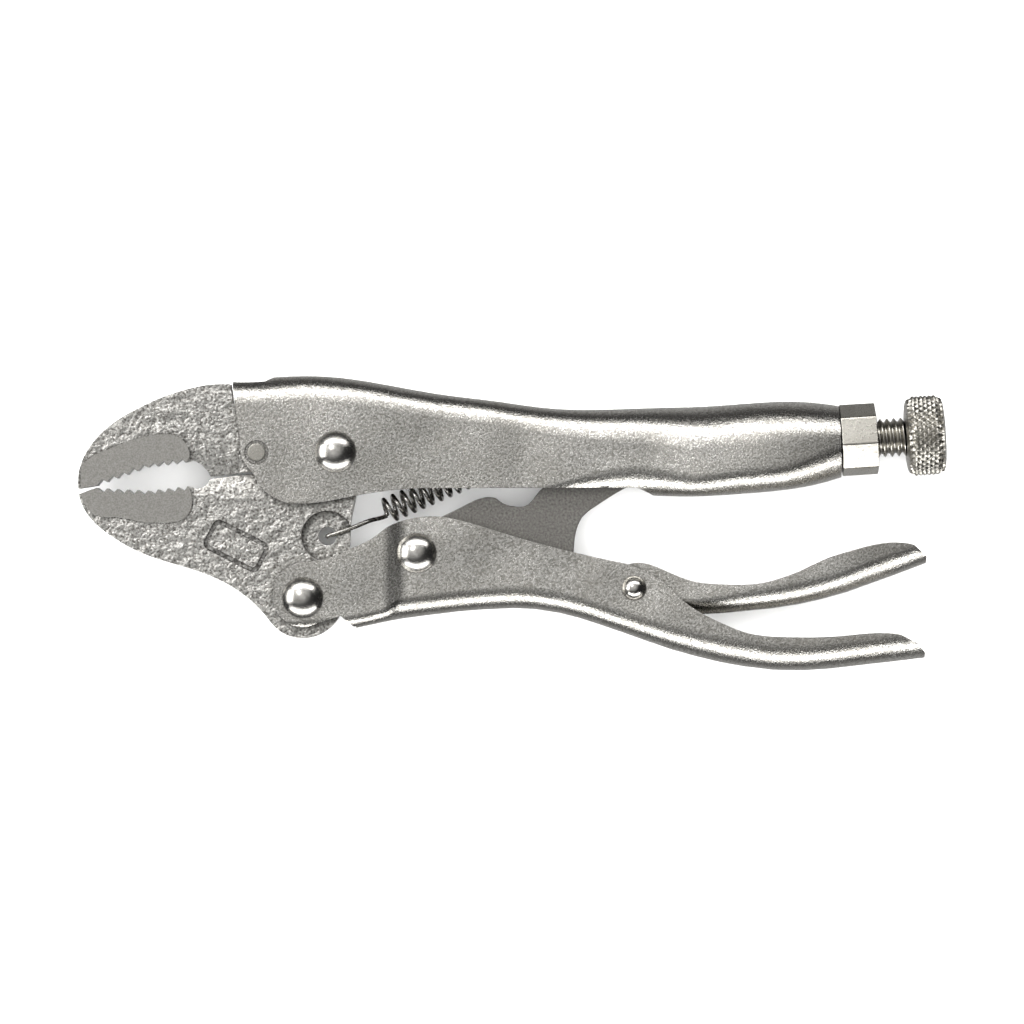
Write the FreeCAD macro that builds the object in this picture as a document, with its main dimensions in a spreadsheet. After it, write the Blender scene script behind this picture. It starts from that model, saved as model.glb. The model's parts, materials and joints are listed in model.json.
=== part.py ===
import FreeCAD, Part
import math
import os
import Sketcher
from FreeCAD import Placement, Rotation, Vector

# Curved-jaw locking pliers, lying flat: +X runs from the jaws to the knob, +Y from the lower handle to the
# upper handle, and +Z through the thickness. The drawing origin is the jaw pivot; each piece is then placed
# so that the frame's origin is at the bottom centre of the whole tool.

doc = FreeCAD.newDocument("locking_pliers")

# ---------------------------------------------------------------- driving dimensions
NOMINAL_LENGTH = 178.0
DIMENSIONS = {
    "tool_length": NOMINAL_LENGTH,
    "sheet_gauge": 1.6,
    "lever_gauge": 1.4,
    "pad_proud": 0.6,
    "pad_thickness": 9.4,
    "tongue_thickness": 6.2,
    "link_thickness": 5.4,
    "lever_width": 6.8,
    "lever_tail_width": 11.6,
    "tail_width": 13.0,
    "tube_diameter": 18.0,
    "mouth_diameter": 14.4,
    "pivot_shank": 5.0,
    "pivot_head": 8.3,
    "link_shank": 4.8,
    "link_head": 8.0,
    "lever_shank": 3.0,
    "lever_head": 5.0,
    "pin_diameter": 3.7,
    "pin_countersink": 5.0,
    "pin_sink": 0.1,
    "dome_height": 2.3,
    "running_clearance": 0.05,
    "side_clearance": 0.1,
    "swing_clearance": 0.4,
    "screw_diameter": 7.94,
    "screw_open_gap": 2.6,
    "nut_across_corners": 14.9,
    "nut_head_length": 7.4,
    "nut_neck_length": 10.5,
    "neck_clearance": 0.55,
    "knob_diameter": 16.5,
    "knob_length": 8.0,
    "knob_gap": 6.0,
    "spring_diameter": 5.6,
    "spring_wire": 0.9,
    "spring_hole": 3.8,
    "eye_web": 3.2,
    "tooth_depth": 0.9,
    "link_end_radius": 3.4,
}

sheet = doc.addObject("Spreadsheet::Sheet", "sizes")
for row, (alias, value) in enumerate(DIMENSIONS.items(), start=1):
    sheet.set("A%d" % row, alias)
    sheet.set("B%d" % row, str(value))
    sheet.setAlias("B%d" % row, alias)
doc.recompute()


def size(alias):
    return float(sheet.get(alias))


# The side view keeps its shape when the tool's length changes.
SCALE = size("tool_length") / NOMINAL_LENGTH

# ---------------------------------------------------------------- derived sizes
CHANNEL_HALF = size("pad_thickness") / 2 + size("side_clearance") + size("sheet_gauge")
CHANNEL_HALF_RULE = "(<<sizes>>.pad_thickness / 2 + <<sizes>>.side_clearance + <<sizes>>.sheet_gauge)"
GRIP_INNER_HALF = size("lever_width") / 2 + 2 * size("side_clearance")
GRIP_HALF = GRIP_INNER_HALF + size("sheet_gauge")
FORGING_HALF = size("pad_thickness") / 2 - size("pad_proud")
FORGING_RULE = "<<sizes>>.pad_thickness - 2 * <<sizes>>.pad_proud"
TUBE_RADIUS = size("tube_diameter") / 2
MOUTH_RADIUS = size("mouth_diameter") / 2


def at(x, y):
    """A point of the side view, from the jaw pivot."""
    return Vector(x * SCALE, y * SCALE, 0)


# ---------------------------------------------------------------- pivots and axes, side view
JAW_PIVOT = at(0, 0)
HANDLE_PIVOT = at(-6.73, -29.85)
LINK_PIVOT = at(16.65, -20.7)
LEVER_PIVOT = at(61.25, -27.9)
JAW_PIN = at(-16.2, -0.1)
SPRING_EYE = at(-1.76, -17.3)
LINK_END = at(74.0, 0.54)
MOUTH = at(103.7, 2.36)
SCREW_ANGLE = 3.5

# Frame origin: middle of the tool's length and height, on the lowest face.
ORIGIN_SHIFT = at(-36.18, 14.62) + Vector(0, 0, TUBE_RADIUS)


def place(body, point=Vector(0, 0, 0), angle=0.0):
    body.Placement = Placement(ORIGIN_SHIFT + point, Rotation(Vector(0, 0, 1), angle))


# ---------------------------------------------------------------- drawing helpers
def new_body(name):
    body = doc.addObject("PartDesign::Body", name)
    body.Label = name
    return body


def new_sketch(body, name, role="XY_Plane", offset=0.0):
    """A sketch on one of the body's own planes, moved along that plane's normal."""
    sketch = body.newObject("Sketcher::SketchObject", name)
    plane = [item for item in body.Origin.OriginFeatures if item.Role == role][0]
    sketch.AttachmentSupport = [(plane, "")]
    sketch.MapMode = "FlatFace"
    sketch.AttachmentOffset = Placement(Vector(0, 0, offset), Rotation())
    return sketch


def draw(sketch, *runs):
    """Joins runs of points: two points are a line, three an arc, and more a smooth curve."""
    for run in runs:
        if len(run) == 2:
            sketch.addGeometry(Part.LineSegment(run[0], run[1]))
        elif len(run) == 3:
            sketch.addGeometry(Part.Arc(run[0], run[1], run[2]))
        else:
            curve = Part.BSplineCurve()
            curve.interpolate(run)
            sketch.addGeometry(curve)


def polyline(points):
    """The two-point runs of a broken line."""
    return list(zip(points[:-1], points[1:]))


def disc(sketch, centre, rule):
    """A circle whose diameter follows a rule written with the sheet's sizes."""
    index = sketch.addGeometry(Part.Circle(centre, Vector(0, 0, 1), 1.0))
    name = "disc_%d" % index
    number = sketch.addConstraint(Sketcher.Constraint("Diameter", index, 2.0))
    sketch.renameConstraint(number, name)
    sketch.addConstraint(Sketcher.Constraint("DistanceX", -1, 1, index, 3, centre.x))
    sketch.addConstraint(Sketcher.Constraint("DistanceY", -1, 1, index, 3, centre.y))
    sketch.setExpression("Constraints." + name, rule)


def centred_pad(body, sketch, name, rule):
    """A plate of this sketch, centred on the drawing plane."""
    pad = body.newObject("PartDesign::Pad", name)
    pad.Profile = sketch
    pad.Refine = False
    pad.SideType = "Symmetric"
    pad.setExpression("Length", rule)
    doc.recompute()
    return pad


def centred_pocket(body, sketch, name, rule):
    """A cut of this sketch, centred on the drawing plane."""
    before = body.Shape.Volume
    pocket = body.newObject("PartDesign::Pocket", name)
    pocket.Profile = sketch
    pocket.Refine = False
    pocket.SideType = "Symmetric"
    pocket.setExpression("Length", rule)
    doc.recompute()
    if body.Shape.Volume >= before:
        raise RuntimeError(name + " cuts nothing")
    return pocket


def section(body, name, station):
    """A rounded box across the X axis: half width, top, bottom, and its two corner radii."""
    x, half, top, bottom, top_radius, bottom_radius = station
    sketch = new_sketch(body, name, "YZ_Plane", x)
    turn = math.sqrt(0.5)
    corners = []
    for y_edge, z_edge, radius, inward_y, inward_z in (
            (top, half, top_radius, -1, -1), (top, -half, top_radius, -1, 1),
            (bottom, -half, bottom_radius, 1, 1), (bottom, half, bottom_radius, 1, -1)):
        centre = Vector(y_edge + inward_y * radius, z_edge + inward_z * radius, 0)
        on_cap = Vector(y_edge, centre.y, 0)
        on_wall = Vector(centre.x, z_edge, 0)
        middle = centre + Vector(-inward_y * radius * turn, -inward_z * radius * turn, 0)
        corners.append((on_cap, middle, on_wall))
    first, second, third, fourth = corners
    draw(sketch, (first[2], first[1], first[0]), (first[0], second[0]), second, (second[2], third[2]),
         (third[2], third[1], third[0]), (third[0], fourth[0]), fourth, (fourth[2], first[2]))
    return sketch


def lofted_shell(body, stations, gauge, ruled=False):
    """A sheet shell whose outer sections are given and whose inner ones are a gauge inside them."""
    outer = [section(body, "outer_%d" % number, station) for number, station in enumerate(stations)]
    solid = body.newObject("PartDesign::AdditiveLoft", "outer_form")
    solid.Profile = outer[0]
    solid.Refine = False
    solid.Sections = outer[1:]
    solid.Ruled = ruled
    doc.recompute()
    inner = []
    for number, (x, half, top, bottom, top_radius, bottom_radius) in enumerate(stations):
        inside = (x, half - gauge, top - gauge, bottom + gauge, top_radius - gauge, bottom_radius - gauge)
        inner.append(section(body, "inner_%d" % number, inside))
    hollow = body.newObject("PartDesign::SubtractiveLoft", "inner_form")
    hollow.Profile = inner[0]
    hollow.Refine = False
    hollow.Sections = inner[1:]
    hollow.Ruled = ruled
    doc.recompute()


def cut_forward(body, sketch, name, length, backward=False):
    """A cut of this sketch along its plane's normal, or against it, over a set length."""
    before = body.Shape.Volume
    cut = body.newObject("PartDesign::Pocket", name)
    cut.Profile = sketch
    cut.Refine = False
    cut.Length = length
    cut.Reversed = not backward
    doc.recompute()
    if body.Shape.Volume >= before:
        raise RuntimeError(name + " cuts nothing")


def trim(body, name, runs, margin=40.0):
    """Keeps only what lies inside a closed outline of the side view."""
    sketch = new_sketch(body, name + "_outline")
    low = at(-margin - 60, -margin - 50)
    high = at(margin + 130, margin + 30)
    corners = [low, Vector(high.x, low.y, 0), high, Vector(low.x, high.y, 0), low]
    draw(sketch, *polyline(corners))
    draw(sketch, *runs)
    centred_pocket(body, sketch, name, "4 * <<sizes>>.tube_diameter")


def bored(body, name, bores, length_rule="4 * <<sizes>>.tube_diameter"):
    """Round holes through the thickness, each with its centre and diameter rule."""
    sketch = new_sketch(body, name + "_circles")
    for centre, rule in bores:
        disc(sketch, centre, rule)
    centred_pocket(body, sketch, name, length_rule)


def plan_slot(body, name, points, downward):
    """A cut along Y from the middle plane, drawn as half of a symmetric plan outline."""
    sketch = new_sketch(body, name + "_plan", "XZ_Plane")
    half = [Vector(x * SCALE, z, 0) for x, z in points]
    other = [Vector(point.x, -point.y, 0) for point in reversed(half)]
    draw(sketch, *polyline(half + other + half[:1]))
    before = body.Shape.Volume
    cut = body.newObject("PartDesign::Pocket", name)
    cut.Profile = sketch
    cut.Refine = False
    cut.Type = "ThroughAll"
    if downward is None:
        cut.SideType = "Symmetric"
    else:
        cut.Reversed = downward
    doc.recompute()
    if body.Shape.Volume >= before:
        raise RuntimeError(name + " cuts nothing")


# ---------------------------------------------------------------- upper handle
def upper_handle():
    """One pressing: an open channel over the jaws and the link, rolled into a tube behind them."""
    body = new_body("upper_handle")
    gauge = size("sheet_gauge")
    corner = 0.8125 * CHANNEL_HALF
    low_corner = gauge + 1.2
    stations = []
    channel = ((-24, 15.5, -13), (-9, 15.6, -13), (6, 14.6, -12.5), (22, 11.8, -11), (38, 9.7, -10))
    for x, top, bottom in channel:
        stations.append((x * SCALE, CHANNEL_HALF, top * SCALE, bottom * SCALE, corner, low_corner))
    for x, top, bottom, share, roundness, low_roundness in ((50, 8.7, -9.2, 0.3, 0.85, 0.6),
                                                            (60, 8.9, -8.9, 0.7, 0.888, 0.766)):
        half = CHANNEL_HALF + share * (TUBE_RADIUS - CHANNEL_HALF)
        stations.append((x * SCALE, half, top * SCALE, bottom * SCALE,
                         roundness * half, low_roundness * half))
    mouth = MOUTH_RADIUS - 0.2
    mouth_middle = 2.2 * SCALE
    swell = TUBE_RADIUS - mouth
    rise = swell * SCALE
    # x, the tube's middle, its share of the swell, the keel under it, and its lower roundness.
    tube = ((70, 0.3 * SCALE, 0.95, 0.5, 0.6),
            (82, 0.8 * SCALE, 1.0, 0.5, 0.6),
            (93, mouth_middle - 0.35 * rise, 0.95, 0.3, 0.65),
            (99, mouth_middle - 0.2 * rise, 0.65, 0.1, 0.8))
    for x, middle, share, keel, roundness in tube:
        radius = mouth + share * swell
        stations.append((x * SCALE, radius, middle + radius, middle - radius - keel,
                         0.96 * radius, roundness * radius))
    stations.append((105 * SCALE, mouth, mouth_middle + mouth, mouth_middle - mouth,
                     0.96 * mouth, 0.96 * mouth))
    lofted_shell(body, stations, gauge)

    inner_half = CHANNEL_HALF - gauge
    lip_half = size("link_thickness") / 2 + size("swing_clearance")
    seam_half = 0.6
    plan_slot(body, "underside_slot", ((-30, inner_half), (52, inner_half), (60, lip_half), (76, lip_half),
                                       (82, seam_half), (120, seam_half)), True)
    front = [at(-21.1, 13.7), at(-20.5, 9), at(-19.6, 2.4), at(-19.2, -1.2), at(-16.8, -4.6), at(-14.6, -7.9),
             at(-11.7, -9.8), at(-9.4, -10.6)]
    bottom = [at(-9.4, -10.6), at(-2.3, -10.2), at(4.2, -8.9), at(10.8, -7.9), at(17.4, -7.4)]
    curl = [at(61.8, -7.3), at(64, -8.2), at(66, -9.4), at(68, -11)]
    rest = [at(68, -11), at(68, -20), at(103.9, -20), at(103.9, -5.2), at(103.3, 9.1), at(103.3, 25),
            at(-21.1, 25), at(-21.1, 13.7)]
    trim(body, "side_trim", [front, bottom, (at(17.4, -7.4), at(61.8, -7.3)), curl] + polyline(rest))
    relief = inner_half - 0.9
    plan_slot(body, "bend_relief", ((-30, relief), (-14.5, relief), (-13, relief - 1.5)), False)
    bored(body, "pivot_bores", ((JAW_PIVOT, "<<sizes>>.pivot_shank"), (JAW_PIN, "<<sizes>>.pin_diameter")))
    countersink(body, "pin_countersink", JAW_PIN)
    place(body)
    return body


def countersink(body, name, centre):
    """A shallow flat-bottomed sink round the pin on both outer faces."""
    depth = 0.5
    for side in (1, -1):
        sketch = new_sketch(body, "%s_ring_%d" % (name, side + 1), offset=side * (CHANNEL_HALF - depth))
        disc(sketch, centre, "<<sizes>>.pin_countersink")
        cut_forward(body, sketch, "%s_%d" % (name, side + 1), 2 * depth, side < 0)


# ---------------------------------------------------------------- jaws
def teeth(start, end, count, depth):
    """The points of a saw-tooth edge between two points, biting to the left of its direction."""
    along = end - start
    pitch = along.Length / count
    along.normalize()
    across = Vector(-along.y, along.x, 0)
    points = [start]
    for number in range(count):
        base = start + along * (pitch * number)
        points.append(base + along * (0.35 * pitch) + across * depth)
        points.append(base + along * pitch)
    return points


def cutter_bevels(body, start, length, ridge, edge, depth):
    """Slopes both faces of a forging from a ridge down to the wire cutter's edge, along X."""
    spare = size("pad_thickness")
    for side in (1, -1):
        sketch = new_sketch(body, "bevel_section_%d" % (side + 1), "YZ_Plane", start * SCALE)
        ridge_point = Vector(ridge * SCALE, side * FORGING_HALF, 0)
        corners = [ridge_point, Vector(edge * SCALE, side * (FORGING_HALF - depth), 0),
                   Vector(edge * SCALE, side * spare, 0), Vector(ridge * SCALE, side * spare, 0), ridge_point]
        draw(sketch, *polyline(corners))
        cut_forward(body, sketch, "bevel_%d" % (side + 1), length * SCALE)


def rounded_frame(centre, angle, half_length, half_height, corner):
    """The closed outline of a turned rectangle with rounded corners, as lines and arcs."""
    turn = Rotation(Vector(0, 0, 1), angle)
    arcs = []
    for across, along in ((1, 1), (1, -1), (-1, -1), (-1, 1)):
        inner = Vector(along * (half_length - corner), across * (half_height - corner), 0)
        on_side = inner + Vector(along * corner, 0, 0)
        on_end = inner + Vector(0, across * corner, 0)
        middle = inner + Vector(along, across, 0) * (corner * math.sqrt(0.5))
        ends = (on_side, on_end) if along * across > 0 else (on_end, on_side)
        arcs.append(tuple(centre + turn.multVec(point) for point in (ends[0], middle, ends[1])))
    lines = [(first[2], second[0]) for first, second in zip(arcs, arcs[1:] + arcs[:1])]
    return arcs + lines


def nameplate(body, centre, angle):
    """A blank nameplate on both faces of a forging, framed by a groove."""
    depth = 0.7
    groove = 1.0 * SCALE
    half_length = 6.4 * SCALE
    half_height = 3.4 * SCALE
    for side in (1, -1):
        sketch = new_sketch(body, "nameplate_outline_%d" % (side + 1), offset=side * (FORGING_HALF - depth))
        draw(sketch, *rounded_frame(centre, angle, half_length, half_height, 1.6 * SCALE))
        draw(sketch, *rounded_frame(centre, angle, half_length - groove, half_height - groove, 0.8 * SCALE))
        cut_forward(body, sketch, "nameplate_%d" % (side + 1), 2 * depth, side < 0)


def fixed_jaw():
    """The upper jaw: a solid nose and a fork whose cheeks straddle the lower jaw's tongue."""
    body = new_body("fixed_jaw")
    depth = size("tooth_depth")
    cheek = 6.5 * SCALE
    nose = [at(-52.8, -7.6), at(-52.6, -3.4), at(-50.3, 1.4), at(-45.3, 6.2), at(-40.4, 9.1), at(-32.9, 12.2),
            at(-27.9, 13.5), at(-21.6, 13.9)]
    shoulder = [at(-21.6, 13.9), at(-21.1, 9.9), at(-18, 9.9)]
    top = [at(-18, 9.9), at(-10, 9.8), at(-4, 8.2)]
    rear_start = Vector(cheek * math.cos(math.radians(75)), cheek * math.sin(math.radians(75)), 0)
    rear_end = Vector(cheek * math.cos(math.radians(-110)), cheek * math.sin(math.radians(-110)), 0)
    rear = (rear_start, Vector(cheek, 0, 0), rear_end)
    parting = [rear_end, at(-9, -4.6), at(-18, -4.1), at(-25.7, -5.1)]
    throat = (at(-25.7, -5.1), at(-27.3, -2.9), at(-29.4, -1.7))
    mouth_rear = [at(-29.4, -1.7), at(-30.8, -2.2)]
    crown = at(-38.5, -3.2)
    bite_rear = teeth(at(-30.8, -2.2), crown, 4, -depth)
    bite_front = teeth(crown, at(-49.0, -6.9), 5, -depth)
    tip = [at(-49.0, -6.9), at(-52.8, -7.6)]
    runs = [nose] + polyline(shoulder) + [tuple(top), (top[-1], rear_start), rear]
    runs += polyline(parting) + [throat]
    runs += polyline(mouth_rear) + polyline(bite_rear) + polyline(bite_front) + polyline(tip)
    blank = new_sketch(body, "blank_outline")
    draw(blank, *runs)
    centred_pad(body, blank, "blank", FORGING_RULE)

    face = new_sketch(body, "ground_pad_outline")
    border = [at(-52.3, -3.0), at(-50, -1.0), at(-47.3, 0.3), at(-43.3, 1.9), at(-39.3, 3.1), at(-36.4, 3.6),
              at(-33.4, 3.5), at(-31.4, 2.5), at(-30.4, 1.1), at(-30.0, -1.0), at(-30.8, -2.2)]
    close = [at(-49.0, -6.9), at(-52.3, -7.5), at(-52.3, -3.0)]
    draw(face, border, *(polyline(bite_rear) + polyline(bite_front) + polyline(close)))
    centred_pad(body, face, "ground_pad", "<<sizes>>.pad_thickness")

    cheeks = new_sketch(body, "cheek_outline")
    draw(cheeks, (at(-18, -4.1), top[0]), tuple(top), (top[-1], rear_start), rear, *polyline(parting[:3]))
    centred_pad(body, cheeks, "cheeks", "<<sizes>>.pad_thickness")

    slot = new_sketch(body, "tongue_slot_outline")
    slot_points = [at(-17.5, -12), at(-17.5, 6), at(-9, 18), at(20, 18), at(20, -12), at(-17.5, -12)]
    draw(slot, *polyline(slot_points))
    centred_pocket(body, slot, "tongue_slot", "<<sizes>>.tongue_thickness + 2 * <<sizes>>.side_clearance")
    bored(body, "rivet_bores", ((JAW_PIVOT, "<<sizes>>.pivot_shank"), (JAW_PIN, "<<sizes>>.pin_diameter")))
    cutter_bevels(body, start=-29.9, length=10.0, ridge=1.4, edge=-8.0, depth=1.9)
    place(body)
    return body


def lower_jaw():
    """The moving jaw: a thick forging with a thin tongue round the jaw pivot."""
    body = new_body("lower_jaw")
    depth = size("tooth_depth")
    lobe = 8.4 * SCALE
    cheek_gap = 6.5 * SCALE + size("swing_clearance")
    gap = Vector(0, -size("swing_clearance"), 0)

    def on_lobe(degrees):
        turn = math.radians(degrees)
        return HANDLE_PIVOT + Vector(lobe * math.cos(turn), lobe * math.sin(turn), 0)

    def on_gap(degrees):
        turn = math.radians(degrees)
        return Vector(cheek_gap * math.cos(turn), cheek_gap * math.sin(turn), 0)

    outer = [at(-52.8, -8.6), at(-50.3, -13.7), at(-45.3, -17.8), at(-40.4, -20.5), at(-30.4, -23.8),
             at(-23, -26.7), at(-18, -30), on_lobe(215)]
    round_lobe = (on_lobe(215), on_lobe(275), on_lobe(0))
    back = [on_lobe(0), at(2.0, -24), at(2.9, -18.8), at(3.1, -14), at(4, -10), at(4.4, -7.5)]
    notch = (on_gap(-55), on_gap(-85), on_gap(-118))
    parting = [on_gap(-118), at(-9, -4.6) + gap, at(-18, -4.1) + gap, at(-25.9, -5.2) + gap]
    throat = (parting[-1], at(-26.9, -7.0), at(-29.2, -7.4))
    crown = at(-38.5, -7.9)
    bite_rear = teeth(at(-30.4, -7.0), crown, 4, depth)
    bite_front = teeth(crown, at(-49.0, -7.35), 5, depth)
    runs = [outer, round_lobe] + polyline(back) + [(back[-1], notch[0]), notch] + polyline(parting) + [throat]
    runs += [(throat[-1], bite_rear[0])] + polyline(bite_rear) + polyline(bite_front)
    runs += [(bite_front[-1], outer[0])]
    blank = new_sketch(body, "blank_outline")
    draw(blank, *runs)
    centred_pad(body, blank, "blank", FORGING_RULE)

    face = new_sketch(body, "ground_pad_outline")
    border = [at(-52.2, -8.6), at(-51.2, -11.2), at(-49.3, -12.9), at(-44.3, -13.4), at(-40.6, -14.2),
              at(-35.4, -14.4), at(-31.8, -14), at(-30.4, -13), at(-29.6, -11.4), at(-29.5, -9),
              at(-30.4, -7.0)]
    draw(face, border, *(polyline(bite_rear) + polyline(bite_front) + [(bite_front[-1], at(-52.2, -8.6))]))
    centred_pad(body, face, "ground_pad", "<<sizes>>.pad_thickness")

    tongue_sketch = new_sketch(body, "tongue_outline")
    tongue = cheek_gap - 2 * size("swing_clearance")
    left = Vector(-tongue * math.cos(math.radians(25)), tongue * math.sin(math.radians(25)), 0)
    right = Vector(tongue * math.cos(math.radians(-10)), tongue * math.sin(math.radians(-10)), 0)
    draw(tongue_sketch, (right, Vector(0, tongue, 0), left),
         *polyline([left, at(-11.5, -5.6), at(-9, -13), at(2.5, -13), right]))
    centred_pad(body, tongue_sketch, "tongue", "<<sizes>>.tongue_thickness")

    for side in (1, -1):
        ring = new_sketch(body, "eye_recess_%d" % (side + 1), offset=side * size("eye_web") / 2)
        disc(ring, SPRING_EYE, "<<sizes>>.spring_hole + 6.8")
        cut = body.newObject("PartDesign::Pocket", "eye_recess_cut_%d" % (side + 1))
        cut.Profile = ring
        cut.Refine = False
        cut.Type = "ThroughAll"
        cut.Reversed = side > 0
        doc.recompute()
    bored(body, "rivet_bores", ((JAW_PIVOT, "<<sizes>>.pivot_shank + 2 * <<sizes>>.running_clearance"),
                                (HANDLE_PIVOT, "<<sizes>>.pivot_shank + 2 * <<sizes>>.running_clearance"),
                                (SPRING_EYE, "<<sizes>>.spring_hole")))
    cutter_bevels(body, start=-29.2, length=14.0, ridge=-8.9, edge=-1.0, depth=2.2)
    nameplate(body, at(-20.4, -19.3), -27)
    place(body)
    return body


# ---------------------------------------------------------------- lower handle and release lever
def lower_handle():
    """One pressing, open upward: two ears at the jaw, a narrow grip and a wider trough at the tail."""
    body = new_body("lower_handle")
    gauge = size("sheet_gauge")
    open_top = 5.0 * SCALE
    tail_half = size("tail_width") / 2
    ear_corner = gauge + 1.4
    grip_corner = GRIP_HALF - 0.4
    tail_corner = tail_half - 0.5
    stations = []

    def add_station(x, bottom, half, corner):
        stations.append((x * SCALE, half, open_top, bottom * SCALE, gauge + 1.4, corner))

    for x, bottom in ((-15, -38), (3, -36.4), (9.5, -35)):
        add_station(x, bottom, CHANNEL_HALF, ear_corner)
    for x, bottom, share in ((11, -34.7, 0.15), (13.2, -34.3, 0.85)):
        half = CHANNEL_HALF + share * (GRIP_HALF - CHANNEL_HALF)
        add_station(x, bottom, half, ear_corner + share * (grip_corner - ear_corner))
    grip = ((14.7, -34.1), (20, -33.4), (25, -32.8), (30, -32.4), (36.6, -32.1), (41, -32.3), (46, -33.1),
            (50, -34.1), (54, -35.4))
    for x, bottom in grip:
        add_station(x, bottom, GRIP_HALF, grip_corner)
    widening = ((59, -37.1, 0.12), (64, -38.9, 0.3), (69, -40.6, 0.48), (74, -42, 0.65), (79, -43.2, 0.8),
                (84, -44.1, 0.9), (90, -44.8, 0.97), (96, -44.9, 1.0), (102, -44.5, 1.0), (108, -43.8, 1.0),
                (115, -43.0, 1.0), (122, -42.2, 1.0))
    for x, bottom, share in widening:
        half = GRIP_HALF + share * (tail_half - GRIP_HALF)
        add_station(x, bottom, half, grip_corner + share * (tail_corner - grip_corner))
    lofted_shell(body, stations, gauge, ruled=True)
    plan_slot(body, "ear_slot", ((-20, CHANNEL_HALF - gauge), (4.2, CHANNEL_HALF - gauge)), None)

    ear = 6.0 * SCALE
    ear_left = HANDLE_PIVOT + Vector(-ear, 0.6 * SCALE, 0)
    ear_low = HANDLE_PIVOT + Vector(1.2 * SCALE, -5.9 * SCALE, 0)
    ear_arc = (ear_left, HANDLE_PIVOT + Vector(-ear * 0.72, -ear * 0.7, 0), ear_low)
    shoulder = [ear_left, at(-10.8, -24.4), at(-8.4, -23), at(-4.3, -22.3)]
    crest = [at(-4.3, -22.3), at(0, -21.3), at(4.3, -19.3), at(7.9, -17.5), at(10.2, -15.7), at(13.1, -14.3),
             at(17.5, -13.3), at(21.8, -13.3), at(26.2, -14.2), at(36.5, -17.3), at(46, -19.9), at(59.3, -22.9)]
    drop = [at(59.3, -22.9), at(62.9, -24.1), at(66.7, -26.3), at(71.3, -30.5), at(75.8, -33.5),
            at(79.8, -35.4), at(84, -37.1), at(93.8, -38.2), at(103.7, -38), at(112.4, -37.3), at(116, -37.5)]
    tail = [at(116, -37.5), at(119.3, -39.2), at(121.0, -41.2), at(121.0, -55), at(4.1, -55), at(4.1, -36.2),
            at(1.0, -33.6), ear_low]
    trim(body, "side_trim", [shoulder, crest, drop, ear_arc] + polyline(tail))
    bored(body, "rivet_bores", ((HANDLE_PIVOT, "<<sizes>>.pivot_shank"), (LINK_PIVOT, "<<sizes>>.link_shank"),
                                (LEVER_PIVOT, "<<sizes>>.lever_shank")))
    place(body)
    return body


def release_lever():
    """A pressed trough, open upward, with a nose ahead of its rivet that pushes the link up."""
    body = new_body("release_lever")
    gauge = size("lever_gauge")
    open_top = 0.0
    front_half = size("lever_width") / 2
    tail_half = size("lever_tail_width") / 2
    front_corner = front_half - 0.6
    tail_corner = tail_half - 0.5
    stations = []
    floor = ((48, -30.5, 0), (56, -31.6, 0), (64, -32.6, 0), (70, -33.1, 0.1), (75.8, -33.3, 0.3),
             (80, -33.1, 0.5), (85, -32.6, 0.72), (90, -32.1, 0.9), (95, -31.3, 1), (100, -30.2, 1),
             (105, -28.8, 1), (110, -27.0, 1), (115, -25.2, 0.96), (122, -22.6, 0.88))
    for x, bottom, share in floor:
        half = front_half + share * (tail_half - front_half)
        corner = front_corner + share * (tail_corner - front_corner)
        stations.append((x * SCALE, half, open_top, bottom * SCALE, gauge + 0.8, corner))
    lofted_shell(body, stations, gauge, ruled=True)
    top = [at(59.7, -23.3), at(62.9, -22.8), at(68.2, -24.6), at(71.3, -25.9), at(74.5, -26.8), at(78.7, -27.2),
           at(87.6, -27), at(91.3, -26.1), at(96.3, -24.2), at(101.2, -21.9), at(106.2, -20.3), at(111.2, -19),
           at(116.1, -18.6), at(118.6, -19)]
    nose = [at(59.7, -23.3), at(55.5, -25.6), at(52.4, -27.0), at(51.8, -28.4), at(53.2, -30.0), at(58, -31.2)]
    rest = [at(118.6, -19), at(121.3, -21.4), at(121.3, -45), at(58, -45), at(58, -31.2)]
    trim(body, "side_trim", [top, nose] + polyline(rest))
    bored(body, "rivet_bore", ((LEVER_PIVOT, "<<sizes>>.lever_shank + 2 * <<sizes>>.running_clearance"),))
    place(body)
    return body


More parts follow.
